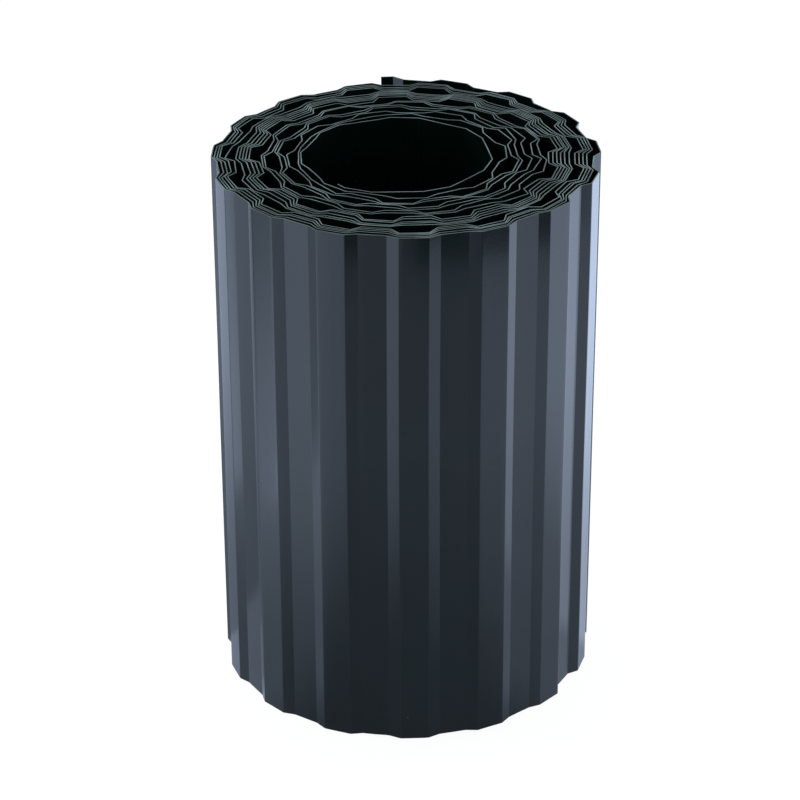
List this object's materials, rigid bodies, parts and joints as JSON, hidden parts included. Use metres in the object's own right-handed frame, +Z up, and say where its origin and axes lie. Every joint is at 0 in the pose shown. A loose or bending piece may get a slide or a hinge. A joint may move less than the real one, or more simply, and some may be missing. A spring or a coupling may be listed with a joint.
{
  "type": "rolled plastic lawn edging",
  "caption": "Roll of thin corrugated plastic lawn edging, standing on end: one long strip wound in a spiral, its folded waves nesting around an open bore.",
  "frame": {"origin": "centre of the roll's footprint, on the floor plane that its lower rim rests on", "axes": "+Z up along the roll's axis; the picture's camera looks along +Y, with +X to the right"},
  "size_m": [0.1712, 0.177, 0.25],
  "materials": {
    "green_plastic": "glossy"
  },
  "bodies": {
    "root": {"edging_strip": "green_plastic"}
  },
  "joints": []
}
